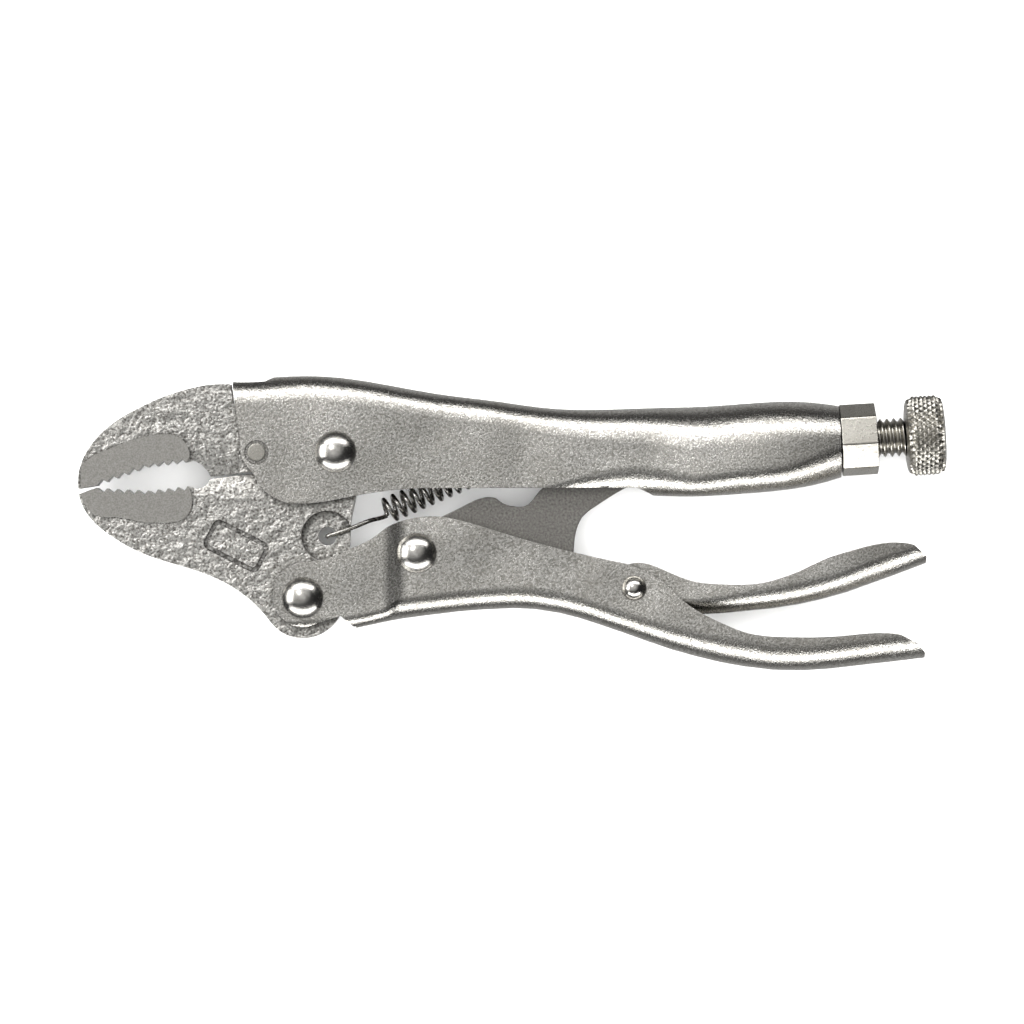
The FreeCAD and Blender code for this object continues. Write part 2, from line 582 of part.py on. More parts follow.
# ---------------------------------------------------------------- toggle link
def toggle_link():
    """A stamped plate from the lower handle up to the screw's tip, with a scooped top edge."""
    body = new_body("toggle_link")
    boss = 5.0 * SCALE
    end = size("link_end_radius")
    boss_top = LINK_PIVOT + Vector(boss * math.cos(math.radians(100)), boss * math.sin(math.radians(100)), 0)
    boss_low = LINK_PIVOT + Vector(boss * math.cos(math.radians(-70)), boss * math.sin(math.radians(-70)), 0)
    end_top = LINK_END + Vector(end * math.cos(math.radians(115)), end * math.sin(math.radians(115)), 0)
    end_low = LINK_END + Vector(end * math.cos(math.radians(-75)), end * math.sin(math.radians(-75)), 0)
    rise = [boss_top, at(21.5, -13.4), at(26, -11.2), at(30.8, -9.3), at(33, -9.5)]
    scoop = [at(33, -9.5), at(34.9, -10.8), at(36.8, -11.2), at(39.1, -11), at(40.7, -9.5), at(42.2, -7.6),
             at(46, -5.0), at(56, -2.6), end_top]
    tip = (end_top, LINK_END + Vector(end, 0, 0), end_low)
    shoulder = [end_low, at(62, -6.2), at(59.3, -7.5), at(53, -11.4), at(50.8, -13.2), at(49.1, -17.6),
                at(48.9, -20.3)]
    belly = [at(48.9, -20.3), at(48.6, -23.0), at(46.5, -24.6), at(40, -25.6), at(30, -26.2), boss_low]
    outline = new_sketch(body, "plate_outline")
    draw(outline, rise, scoop, tip, shoulder, belly, (boss_low, LINK_PIVOT + Vector(-boss, 0, 0), boss_top))
    centred_pad(body, outline, "plate", "<<sizes>>.link_thickness")
    bored(body, "rivet_bore", ((LINK_PIVOT, "<<sizes>>.link_shank + 2 * <<sizes>>.running_clearance"),))
    place(body)
    return body


# ---------------------------------------------------------------- rivets and pin
def domed_rivet(name, centre, seat, shank_alias, head_alias):
    """A rivet through the thickness, with a short rim and a spherical dome on each outer face."""
    body = new_body(name)
    shank = size(shank_alias) / 2
    head = size(head_alias) / 2
    top = seat + size("dome_height")
    rim = seat + 0.35
    sphere = (head ** 2 + (top - rim) ** 2) / (2 * (top - rim))
    half_turn = math.asin(head / sphere) / 2
    middle = Vector(sphere * math.sin(half_turn), top - sphere * (1 - math.cos(half_turn)), 0)
    upper = [Vector(head, rim, 0), Vector(head, seat, 0), Vector(shank, seat, 0)]
    lower = [Vector(point.x, -point.y, 0) for point in reversed(upper)]
    apex = Vector(0, top, 0)
    sketch = new_sketch(body, "half_section", "XZ_Plane")
    draw(sketch, (apex, middle, upper[0]), (lower[-1], Vector(middle.x, -middle.y, 0), -apex), (-apex, apex))
    draw(sketch, *polyline(upper + lower))
    turned = body.newObject("PartDesign::Revolution", "turned")
    turned.Profile = sketch
    turned.ReferenceAxis = (sketch, ["V_Axis"])
    turned.Angle = 360
    doc.recompute()
    place(body, centre)
    return body


def jaw_pin():
    """The plain pin that stops the fixed jaw from turning, ending just under the sheet's faces."""
    body = new_body("fixed_jaw_pin")
    sketch = new_sketch(body, "pin_circle")
    disc(sketch, Vector(0, 0, 0), "<<sizes>>.pin_diameter")
    centred_pad(body, sketch, "pin", "2 * %s - 2 * <<sizes>>.pin_sink" % CHANNEL_HALF_RULE)
    place(body, JAW_PIN)
    return body


# ---------------------------------------------------------------- adjusting screw
# Along the screw: zero is the tube's mouth, positive is towards the knob.
LINK_END_STATION = -(MOUTH - LINK_END).Length
SCREW_TIP = LINK_END_STATION + size("link_end_radius") + size("screw_open_gap")
NUT_END = size("nut_head_length") + 0.1
KNOB_START = NUT_END + size("knob_gap")


def turned_body(name, points):
    """A solid of revolution about the screw's axis, from its half section: station and radius."""
    body = new_body(name)
    sketch = new_sketch(body, "half_section", "XY_Plane")
    draw(sketch, *polyline([Vector(station, radius, 0) for station, radius in points + points[:1]]))
    turned = body.newObject("PartDesign::Revolution", "turned")
    turned.Profile = sketch
    turned.ReferenceAxis = (sketch, ["H_Axis"])
    turned.Angle = 360
    doc.recompute()
    place(body, MOUTH, SCREW_ANGLE)
    return body


def end_nut():
    """The octagonal end of the tube with a round neck held inside it."""
    body = new_body("end_nut")
    across = size("nut_across_corners") / 2
    neck = MOUTH_RADIUS - size("sheet_gauge") - size("neck_clearance")
    corners = []
    for number in range(9):
        turn = math.radians(7 + 45 * number)
        corners.append(Vector(across * math.cos(turn), across * math.sin(turn), 0))
    head_sketch = new_sketch(body, "octagon", "YZ_Plane", 0.1)
    draw(head_sketch, *polyline(corners))
    head = body.newObject("PartDesign::Pad", "head")
    head.Profile = head_sketch
    head.setExpression("Length", "<<sizes>>.nut_head_length")
    neck_sketch = new_sketch(body, "neck_circle", "YZ_Plane", 0.1)
    neck_sketch.addGeometry(Part.Circle(Vector(0, 0, 0), Vector(0, 0, 1), neck))
    neck_pad = body.newObject("PartDesign::Pad", "neck")
    neck_pad.Profile = neck_sketch
    neck_pad.Reversed = True
    neck_pad.setExpression("Length", "<<sizes>>.nut_neck_length")
    doc.recompute()
    bore = new_sketch(body, "screw_bore_circle", "YZ_Plane", 0)
    disc(bore, Vector(0, 0, 0), "<<sizes>>.screw_diameter + 2 * <<sizes>>.running_clearance")
    centred_pocket(body, bore, "screw_bore", "6 * <<sizes>>.nut_neck_length")
    place(body, MOUTH, SCREW_ANGLE)
    return body


def adjusting_screw():
    """The threaded rod, at its thread's outside diameter, with a chamfered tip."""
    radius = size("screw_diameter") / 2
    return turned_body("adjusting_screw", [
        (SCREW_TIP, 0), (SCREW_TIP, radius - 1.2), (SCREW_TIP + 1.2, radius), (KNOB_START, radius),
        (KNOB_START, 0)])


def adjusting_knob():
    """The turned knob on the screw's outer end, with both rims rounded by chamfers."""
    radius = size("knob_diameter") / 2
    end = KNOB_START + size("knob_length")
    return turned_body("adjusting_knob", [
        (KNOB_START, 0), (KNOB_START, radius - 2.2), (KNOB_START + 0.5, radius - 1.0),
        (KNOB_START + 1.4, radius),
        (end - 1.6, radius), (end - 0.6, radius - 0.8), (end, radius - 2.4), (end, 0)])


# ---------------------------------------------------------------- return spring
def return_spring():
    """The extension spring's outer form: one fat rod for its coils, and its two straight ends."""
    coil_start = at(10.1, -12.2)
    coil_end = at(43.2, 2.2)
    tail_end = at(48.5, 4.6)
    wire = size("spring_wire") / 2
    over_web = Vector(0, 0, size("eye_web") / 2 + 1.6 * wire)
    lead_in = at(5.2, -15.0) + over_web
    route = [coil_start, lead_in, SPRING_EYE + over_web, SPRING_EYE - over_web]
    solid = Part.makeCylinder(size("spring_diameter") / 2, (coil_end - coil_start).Length, coil_start,
                              coil_end - coil_start)
    for start, end in polyline(route) + [(coil_end, tail_end)]:
        straight = Part.makeCylinder(wire, (end - start).Length, start, end - start)
        solid = solid.fuse([straight, Part.makeSphere(wire, end)])
    spring = doc.addObject("Part::Feature", "return_spring")
    spring.Label = "return_spring"
    spring.Shape = solid
    place(spring)
    return spring


# ---------------------------------------------------------------- the tool
sub_parts = [
    upper_handle(), fixed_jaw(), lower_jaw(), lower_handle(), release_lever(), toggle_link(),
    domed_rivet("jaw_pivot_rivet", JAW_PIVOT, CHANNEL_HALF, "pivot_shank", "pivot_head"),
    domed_rivet("lower_handle_rivet", HANDLE_PIVOT, CHANNEL_HALF, "pivot_shank", "pivot_head"),
    domed_rivet("link_rivet", LINK_PIVOT, GRIP_HALF, "link_shank", "link_head"),
    domed_rivet("release_lever_rivet", LEVER_PIVOT, GRIP_HALF, "lever_shank", "lever_head"),
    jaw_pin(), end_nut(), adjusting_screw(), adjusting_knob(), return_spring()]
doc.recompute()

for item in doc.Objects:
    if "Invalid" in item.State or "Error" in item.State:
        raise RuntimeError("%s failed: %s" % (item.Name, item.State))

os.makedirs("parts", exist_ok=True)
for sub_part in sub_parts:
    shape = sub_part.Shape
    if shape.isNull() or not shape.isValid() or len(shape.Solids) != 1:
        raise RuntimeError(sub_part.Label + " has no single valid solid")
    shape.exportStep("parts/%s.step" % sub_part.Label)
    print("%-20s %9.1f mm3" % (sub_part.Label, shape.Volume))
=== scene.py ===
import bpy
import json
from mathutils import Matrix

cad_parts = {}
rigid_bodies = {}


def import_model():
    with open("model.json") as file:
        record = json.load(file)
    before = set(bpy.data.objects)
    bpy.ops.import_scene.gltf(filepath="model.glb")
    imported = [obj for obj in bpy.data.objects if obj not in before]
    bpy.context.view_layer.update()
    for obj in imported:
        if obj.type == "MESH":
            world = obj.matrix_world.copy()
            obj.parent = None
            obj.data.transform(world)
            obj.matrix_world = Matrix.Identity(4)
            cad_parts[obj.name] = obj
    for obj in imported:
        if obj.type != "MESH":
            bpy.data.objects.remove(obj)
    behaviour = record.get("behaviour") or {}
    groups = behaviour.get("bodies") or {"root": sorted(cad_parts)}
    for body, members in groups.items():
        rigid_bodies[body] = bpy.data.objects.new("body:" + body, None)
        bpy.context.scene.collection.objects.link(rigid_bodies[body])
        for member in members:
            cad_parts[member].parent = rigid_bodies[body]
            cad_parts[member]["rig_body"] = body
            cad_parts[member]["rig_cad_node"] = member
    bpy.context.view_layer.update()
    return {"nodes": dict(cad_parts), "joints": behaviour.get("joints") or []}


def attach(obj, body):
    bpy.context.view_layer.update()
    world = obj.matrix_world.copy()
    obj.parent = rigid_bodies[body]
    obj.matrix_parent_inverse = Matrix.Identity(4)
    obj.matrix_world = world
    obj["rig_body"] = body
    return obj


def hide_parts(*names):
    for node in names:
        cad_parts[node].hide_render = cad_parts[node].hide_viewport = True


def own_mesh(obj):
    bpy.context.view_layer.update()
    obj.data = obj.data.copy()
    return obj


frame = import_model()

import json
import math

import bmesh
import bpy
from bpy.props import FloatProperty, IntProperty, PointerProperty, StringProperty
from mathutils import Matrix, Vector

bl_info = {
    "name": "Locking pliers",
    "version": (1, 0, 0),
    "blender": (4, 5, 0),
    "location": "3D View > Sidebar > Pliers",
    "description": "Finishes the pressings, forgings, rivets, screw and spring of a pair of locking pliers",
    "category": "Object",
}

MM = 0.001
MERGE_DISTANCE = 0.002 * MM
JOINTS = {joint["name"]: joint for joint in frame["joints"]}
SCREW_AXIS = Vector(JOINTS["knob_turn"]["axis"]).normalized()
SCREW_ORIGIN = Vector(JOINTS["knob_turn"]["pos_m"])
JAW_PIVOT = Vector(JOINTS["jaw_swing"]["pos_m"])
MIDDLE_Z = SCREW_ORIGIN.z       # the height of the tool's middle plane above the floor
FORGED_SKIN_Z = 4.5 * MM        # below this distance from the middle plane a forging keeps its skin
GROUND_FACE_Z = 4.6 * MM        # above this one it is ground flat
# the dark colour of the painted shade in corners and crevices
PAINTED_SHADE = "#1F1D1B"


# ------------------------------------------------------------------ sizes and colours
def millimetres(name, description, value):
    return FloatProperty(name=name, description=description, default=value * MM, unit="LENGTH", precision=5)


def hex_colour(name, description, value):
    return StringProperty(name=name, description=description, default=value)


class PressingSettings(bpy.types.PropertyGroup):
    edge: millimetres("Sheared edge", "Rounding of the sheet's sheared edges", 0.42)
    grain: millimetres("Plating grain", "Size of the grain under the satin plating", 0.45)
    colour: hex_colour("Plating colour", "Colour of the satin nickel", "#DAD8D3")


class ForgingSettings(bpy.types.PropertyGroup):
    edge: millimetres("Forged edge", "Rounding of the forgings' edges", 0.28)
    grain: millimetres("Forging grain", "Size of the scale pits of the forged skin", 0.5)
    colour: hex_colour("Forging colour", "Colour of the plated forging", "#D3D1CC")
    ground: hex_colour("Ground colour", "Colour of the ground side faces", "#A09E99")


class AdjusterSettings(bpy.types.PropertyGroup):
    pitch: millimetres("Thread pitch", "Distance between the screw's threads", 1.411)
    thread_depth: millimetres("Thread depth", "Height of the screw's threads", 0.75)
    knurls: IntProperty(name="Knurls", description="Diamonds round the knob", default=34, min=12)
    knurl_depth: millimetres("Knurl depth", "Depth of the knob's knurling", 0.55)


class SpringSettings(bpy.types.PropertyGroup):
    wire: millimetres("Wire", "Diameter of the spring's wire", 0.9)
    coil: millimetres("Coil", "Outside diameter of the spring's coils", 5.6)
    pitch: millimetres("Coil pitch", "Distance between neighbouring coils", 2.03)


class StageSettings(bpy.types.PropertyGroup):
    distance: FloatProperty(name="Camera distance", description="Height of the camera above the tool",
                            default=1.5, unit="LENGTH")
    width: millimetres("View width", "Width of what the camera sees at the tool", 212.0)
    floor: hex_colour("Floor colour", "Colour of the floor", "#F4F4F3")


def settings(group):
    return getattr(bpy.context.scene, group)


# ------------------------------------------------------------------ modelling helpers
def select_only(piece):
    if bpy.context.object and bpy.context.object.mode != "OBJECT":
        bpy.ops.object.mode_set(mode="OBJECT")
    bpy.ops.object.select_all(action="DESELECT")
    piece.select_set(True)
    bpy.context.view_layer.objects.active = piece


def copy_of(node_name, name):
    """A merged copy of a CAD node, with its flat faces made whole again."""
    piece = frame["nodes"][node_name].copy()
    piece.data = piece.data.copy()
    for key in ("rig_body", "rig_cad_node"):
        if key in piece:
            del piece[key]
    piece.parent = None
    piece.name = name
    bpy.context.scene.collection.objects.link(piece)
    select_only(piece)
    bpy.ops.object.mode_set(mode="EDIT")
    bpy.ops.mesh.select_all(action="SELECT")
    bpy.ops.mesh.remove_doubles(threshold=MERGE_DISTANCE)
    bpy.ops.mesh.customdata_custom_splitnormals_clear()
    bpy.ops.mesh.dissolve_limited(angle_limit=math.radians(0.4))
    bpy.ops.object.mode_set(mode="OBJECT")
    return piece


def round_edges(piece, width, segments=2, angle=28.0):
    """Rounds the edges that are sharper than this angle."""
    bevel = piece.modifiers.new("edge", "BEVEL")
    bevel.width = width
    bevel.segments = segments
    bevel.limit_method = "ANGLE"
    bevel.angle_limit = math.radians(angle)
    bevel.use_clamp_overlap = True
    bevel.harden_normals = False
    select_only(piece)
    bpy.ops.object.modifier_apply(modifier="edge")


def smooth(piece, angle=32.0):
    """Smooth shading between sharp edges, with flat faces kept flat."""
    select_only(piece)
    bpy.ops.object.shade_smooth_by_angle(angle=math.radians(angle))
    even = piece.modifiers.new("even", "WEIGHTED_NORMAL")
    even.keep_sharp = True
    even.weight = 80
    bpy.ops.object.modifier_apply(modifier="even")


def finish_piece(piece, body, material, nodes):
    """Gives a finished piece its material and its body, and hides the nodes that it stands for."""
    piece.data.materials.clear()
    piece.data.materials.append(material)
    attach(piece, body)
    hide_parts(*nodes)


def to_axis(piece, origin, direction):
    """Turns a piece modelled along its own Z to lie along a direction, and applies it."""
    turn = Vector((0, 0, 1)).rotation_difference(direction)
    piece.matrix_world = Matrix.Translation(origin) @ turn.to_matrix().to_4x4()
    select_only(piece)
    bpy.ops.object.transform_apply(location=True, rotation=True, scale=True)


def outline_strip(points, name):
    """An open chain of edges through points in its own XZ plane."""
    bpy.ops.object.select_all(action="DESELECT")
    bpy.ops.mesh.primitive_circle_add(vertices=len(points), radius=MM, fill_type="NOTHING")
    strip = bpy.context.object
    strip.name = name
    for vertex, (radius, along) in zip(strip.data.vertices, points):
        vertex.co = (radius, 0.0, along)
    last = len(points) - 1
    bpy.ops.object.mode_set(mode="EDIT")
    mesh = bmesh.from_edit_mesh(strip.data)
    closing = [edge for edge in mesh.edges if {vertex.index for vertex in edge.verts} == {0, last}]
    bmesh.ops.delete(mesh, geom=closing, context="EDGES")
    bmesh.update_edit_mesh(strip.data)
    bpy.ops.object.mode_set(mode="OBJECT")
    return strip


def wind(piece, pitch, turns, steps):
    """Applies a screw modifier: the piece's edges wound about Z."""
    screw = piece.modifiers.new("wind", "SCREW")
    screw.angle = 2 * math.pi
    screw.screw_offset = pitch
    screw.iterations = turns
    screw.steps = steps
    screw.render_steps = steps
    screw.use_merge_vertices = True
    screw.merge_threshold = MERGE_DISTANCE
    select_only(piece)
    bpy.ops.object.modifier_apply(modifier="wind")
    bpy.ops.object.mode_set(mode="EDIT")
    bpy.ops.mesh.select_all(action="SELECT")
    bpy.ops.mesh.remove_doubles(threshold=MERGE_DISTANCE)
    bpy.ops.mesh.normals_make_consistent(inside=False)
    bpy.ops.object.mode_set(mode="OBJECT")


def cut_flat(piece, height, keep_above):
    """Cuts a piece square to Z at a height, closes the cut and keeps one side."""
    select_only(piece)
    bpy.ops.object.mode_set(mode="EDIT")
    bpy.ops.mesh.select_all(action="SELECT")
    bpy.ops.mesh.bisect(plane_co=(0, 0, height), plane_no=(0, 0, 1), use_fill=True,
                        clear_inner=keep_above, clear_outer=not keep_above)
    bpy.ops.object.mode_set(mode="OBJECT")


# ------------------------------------------------------------------ material helpers
def linear(colour):
    """Linear RGBA from an sRGB hex colour."""
    values = []
    for start in (1, 3, 5):
        channel = int(colour[start:start + 2], 16) / 255
        values.append(channel / 12.92 if channel <= 0.04045 else ((channel + 0.055) / 1.055) ** 2.4)
    return (*values, 1.0)


def node(tree, kind, settings=None, inputs=None, links=None):
    """Adds one node with its settings, its constant inputs and its links."""
    added = tree.nodes.new(kind)
    for key, value in (settings or {}).items():
        setattr(added, key, value)
    for key, value in (inputs or {}).items():
        added.inputs[key].default_value = value
    for key, output in (links or {}).items():
        tree.links.new(output, added.inputs[key])
    return added


def new_material(name):
    """A material with its node tree, its shader and the object's own coordinates."""
    material = bpy.data.materials.new(name)
    material.use_nodes = True
    tree = material.node_tree
    shader = tree.nodes["Principled BSDF"]
    place = node(tree, "ShaderNodeTexCoord").outputs["Object"]
    return material, tree, shader, place


def noise(tree, place, size, detail=3.0, roughness=0.55):
    """Noise whose features are about this size, in metres."""
    values = {"Scale": 1 / size, "Detail": detail, "Roughness": roughness}
    return node(tree, "ShaderNodeTexNoise", inputs=values, links={"Vector": place}).outputs["Fac"]


def spread(tree, value, low, high, from_low=0.3, from_high=0.7):
    """Maps a value's range, by default the middle of a noise, onto another."""
    ends = {"From Min": from_low, "From Max": from_high, "To Min": low, "To Max": high}
    return node(tree, "ShaderNodeMapRange", inputs=ends, links={"Value": value}).outputs["Result"]


def arithmetic(tree, operation, first, second=None):
    """A value worked out from one output and, where there is one, another output or a constant."""
    inputs = {1: second} if isinstance(second, float) else {}
    links = {0: first}
    if second is not None and not inputs:
        links[1] = second
    return node(tree, "ShaderNodeMath", settings={"operation": operation}, inputs=inputs,
                links=links).outputs[0]


def blend_colours(tree, factor, first, second):
    """Mixes two colours, each a hex value or another node's output."""
    mix = node(tree, "ShaderNodeMix", settings={"data_type": "RGBA"}, links={0: factor})
    for socket, colour in ((6, first), (7, second)):
        if isinstance(colour, str):
            mix.inputs[socket].default_value = linear(colour)
        else:
            tree.links.new(colour, mix.inputs[socket])
    return mix.outputs[2]


def relief(tree, height, distance, strength=1.0, below=None):
    """Bumps of this height in metres, on top of another relief if there is one."""
    links = {"Height": height}
    if below is not None:
        links["Normal"] = below
    return node(tree, "ShaderNodeBump", inputs={"Distance": distance, "Strength": strength},
                links=links).outputs["Normal"]


# ------------------------------------------------------------------ materials
def painted_shade_in_corners(tree, tone, distance):
    """Paints shade into a colour: darkens it where surfaces meet closely, as if shadow fell there."""
    shut_in = node(tree, "ShaderNodeAmbientOcclusion", settings={"samples": 8}, inputs={"Distance": distance})
    unshaded = spread(tree, shut_in.outputs["AO"], 0.0, 1.0, 0.25, 0.85)
    return blend_colours(tree, unshaded, PAINTED_SHADE, tone)


def satin_nickel():
    """Pressed steel sheet under satin nickel plate: a fine, even grain that breaks up every reflection."""
    chosen = settings("pressing_settings")
    material, tree, shader, place = new_material("satin_nickel_plated_sheet")
    shader.inputs["Metallic"].default_value = 1.0
    grain = noise(tree, place, chosen.grain, 3.0, 0.6)
    fine = noise(tree, place, 0.5 * chosen.grain, 2.0, 0.5)
    clouds = noise(tree, place, 9 * MM, 3.0, 0.5)
    waves = noise(tree, place, 22 * MM, 1.0, 0.4)
    tone = blend_colours(tree, spread(tree, grain, 0.0, 1.0, 0.36, 0.64), "#8E8B85", chosen.colour)
    tone = blend_colours(tree, spread(tree, clouds, 0.0, 0.4), tone, "#A9A59D")
    # Painted shade: the plating's colour darkens where surfaces meet closely.
    tree.links.new(painted_shade_in_corners(tree, tone, 1.0 * MM), shader.inputs["Base Color"])
    tree.links.new(spread(tree, grain, 0.32, 0.22), shader.inputs["Roughness"])
    form = relief(tree, waves, 1.7 * MM)
    coarse = relief(tree, grain, 0.055 * MM, 1.0, form)
    tree.links.new(relief(tree, fine, 0.02 * MM, 1.0, coarse), shader.inputs["Normal"])
    return material


def plated_forging():
    """Hot-forged steel under the same plate: a pitted skin, and side faces ground flat beside the teeth."""
    chosen = settings("forging_settings")
    material, tree, shader, place = new_material("nickel_plated_forging")
    shader.inputs["Metallic"].default_value = 1.0
    height = node(tree, "ShaderNodeSeparateXYZ", links={0: place}).outputs["Z"]
    away = arithmetic(tree, "ABSOLUTE", arithmetic(tree, "SUBTRACT", height, MIDDLE_Z))
    ground = spread(tree, away, 0.0, 1.0, FORGED_SKIN_Z, GROUND_FACE_Z)
    skin = noise(tree, place, chosen.grain, 4.0, 0.6)
    lumps = noise(tree, place, 2.2 * MM, 2.0, 0.5)
    grit = noise(tree, place, 0.3 * MM, 2.0, 0.5)
    skin_tone = blend_colours(tree, spread(tree, skin, 0.0, 1.0, 0.36, 0.6), "#6E6B66", chosen.colour)
    ground_tone = blend_colours(tree, spread(tree, grit, 0.0, 1.0), "#85837F", chosen.ground)
    tone = blend_colours(tree, ground, skin_tone, ground_tone)
    # Painted shade: the forging's colour darkens in crevices and beside the pads, where shadow falls.
    tree.links.new(painted_shade_in_corners(tree, tone, 2.0 * MM), shader.inputs["Base Color"])
    forged_gloss = spread(tree, skin, 0.42, 0.26)
    ground_gloss = 0.5
    gloss = node(tree, "ShaderNodeMix", settings={"data_type": "FLOAT"}, inputs={3: ground_gloss},
                 links={0: ground, 2: forged_gloss}).outputs[0]
    tree.links.new(gloss, shader.inputs["Roughness"])
    skin_share = spread(tree, ground, 1.0, 0.0, 0.0, 1.0)
    broad = relief(tree, arithmetic(tree, "MULTIPLY", lumps, skin_share), 0.45 * MM)
    pitted = relief(tree, arithmetic(tree, "MULTIPLY", skin, skin_share), 0.14 * MM, 1.0, broad)
    tree.links.new(relief(tree, grit, 0.03 * MM, 0.8, pitted), shader.inputs["Normal"])
    return material


def polished_steel():
    """Polished rivet steel: a near mirror with faint smudges from handling."""
    material, tree, shader, place = new_material("polished_rivet_steel")
    shader.inputs["Metallic"].default_value = 1.0
    smudge = noise(tree, place, 1.3 * MM, 4.0, 0.6)
    tree.links.new(blend_colours(tree, spread(tree, smudge, 0.0, 1.0), "#A3A09A", "#CFCDC8"),
                   shader.inputs["Base Color"])
    tree.links.new(spread(tree, smudge, 0.28, 0.20), shader.inputs["Roughness"])
    tree.links.new(relief(tree, smudge, 0.04 * MM, 0.6), shader.inputs["Normal"])
    return material


def bright_turned_steel():
    """Machined and plated steel of the end nut, screw and knob: bright, with fine tool marks."""
    material, tree, shader, place = new_material("plated_turned_steel")
    shader.inputs["Metallic"].default_value = 1.0
    marks = noise(tree, place, 0.5 * MM, 3.0, 0.6)
    clouds = noise(tree, place, 4 * MM, 3.0, 0.5)
    tone = blend_colours(tree, spread(tree, marks, 0.0, 1.0), "#A3A099", "#C6C3BB")
    tone = blend_colours(tree, spread(tree, clouds, 0.0, 0.4), tone, "#9B978E")
    # Painted shade: the turned steel's colour darkens where surfaces meet closely.
    tree.links.new(painted_shade_in_corners(tree, tone, 0.6 * MM), shader.inputs["Base Color"])
    tree.links.new(spread(tree, marks, 0.36, 0.24), shader.inputs["Roughness"])
    tree.links.new(relief(tree, marks, 0.05 * MM, 0.8), shader.inputs["Normal"])
    return material


def dull_plate_steel():
    """Blanked steel plate left dark from the furnace: dull, grey and finely speckled."""
    material, tree, shader, place = new_material("dull_stamped_steel_plate")
    shader.inputs["Metallic"].default_value = 0.85
    grain = noise(tree, place, 0.45 * MM, 4.0, 0.65)
    clouds = noise(tree, place, 9 * MM, 3.0, 0.5)
    tone = blend_colours(tree, spread(tree, grain, 0.0, 1.0), "#4E4C4A", "#7C7A75")
    tone = blend_colours(tree, spread(tree, clouds, 0.0, 0.4), tone, "#64625E")
    # Painted shade: the plate's colour darkens where surfaces meet closely.
    tree.links.new(painted_shade_in_corners(tree, tone, 1.0 * MM), shader.inputs["Base Color"])
    tree.links.new(spread(tree, grain, 0.58, 0.42), shader.inputs["Roughness"])
    tree.links.new(relief(tree, grain, 0.07 * MM, 0.9), shader.inputs["Normal"])
    return material


def oiled_spring_wire():
    """Hard-drawn spring wire, dark and lightly oiled."""
    material, tree, shader, place = new_material("oiled_spring_wire")
    shader.inputs["Metallic"].default_value = 1.0
    grain = noise(tree, place, 0.6 * MM, 2.0, 0.5)
    tree.links.new(blend_colours(tree, spread(tree, grain, 0.0, 1.0), "#8A8883", "#B4B2AD"),
                   shader.inputs["Base Color"])
    tree.links.new(spread(tree, grain, 0.32, 0.22), shader.inputs["Roughness"])
    return material


# ------------------------------------------------------------------ pieces
class PLIERS_OT_pressings(bpy.types.Operator):
    """Finish the upper handle, the lower handle and the release lever"""
    bl_idname = "pliers.pressings"
    bl_label = "Sheet pressings"

    def execute(self, context):
        material = satin_nickel()
        edge = settings("pressing_settings").edge
        for name, body in (("upper_handle", "upper_body"), ("lower_handle", "lower_handle_body"),
                           ("release_lever", "release_lever_body")):
            piece = copy_of(name, name + "_pressing")
            round_edges(piece, edge, angle=50.0)
            smooth(piece)
            finish_piece(piece, body, material, (name,))
        return {"FINISHED"}


class PLIERS_OT_forgings(bpy.types.Operator):
    """Finish the two jaws"""
    bl_idname = "pliers.forgings"
    bl_label = "Forged jaws"

    def execute(self, context):
        material = plated_forging()
        edge = settings("forging_settings").edge
        for name, body in (("fixed_jaw", "upper_body"), ("lower_jaw", "lower_jaw_body")):
            piece = copy_of(name, name + "_forging")
            round_edges(piece, edge, segments=3)
            smooth(piece)
            finish_piece(piece, body, material, (name,))
        return {"FINISHED"}


class PLIERS_OT_link(bpy.types.Operator):
    """Finish the toggle link"""
    bl_idname = "pliers.link"
    bl_label = "Toggle link"

    def execute(self, context):
        piece = copy_of("toggle_link", "toggle_link_plate")
        round_edges(piece, 0.3 * MM)
        smooth(piece)
        finish_piece(piece, "link_body", dull_plate_steel(), ("toggle_link",))
        return {"FINISHED"}


class PLIERS_OT_rivets(bpy.types.Operator):
    """Finish the four domed rivets and the jaw's pin"""
    bl_idname = "pliers.rivets"
    bl_label = "Rivets and pin"

    def execute(self, context):
        polished = polished_steel()
        for name, body in (("jaw_pivot_rivet", "upper_body"), ("lower_handle_rivet", "lower_handle_body"),
                           ("link_rivet", "lower_handle_body"), ("release_lever_rivet", "lower_handle_body")):
            piece = copy_of(name, name + "_dome")
            smooth(piece)
            finish_piece(piece, body, polished, (name,))
        pin = copy_of("fixed_jaw_pin", "fixed_jaw_pin_end")
        round_edges(pin, 0.25 * MM, angle=60.0)
        smooth(pin)
        finish_piece(pin, "upper_body", bright_turned_steel(), ("fixed_jaw_pin",))
        return {"FINISHED"}


def span_on_screw(node_name):
    """The lowest and highest place of a node along the screw's axis, from the tube's mouth."""
    vertices = frame["nodes"][node_name].data.vertices
    places = [(vertex.co - SCREW_ORIGIN).dot(SCREW_AXIS) for vertex in vertices]
    return min(places), max(places)


def reach(node_name):
    """The largest distance of a node from the screw's axis."""
    return max(((vertex.co - SCREW_ORIGIN).cross(SCREW_AXIS)).length
               for vertex in frame["nodes"][node_name].data.vertices)


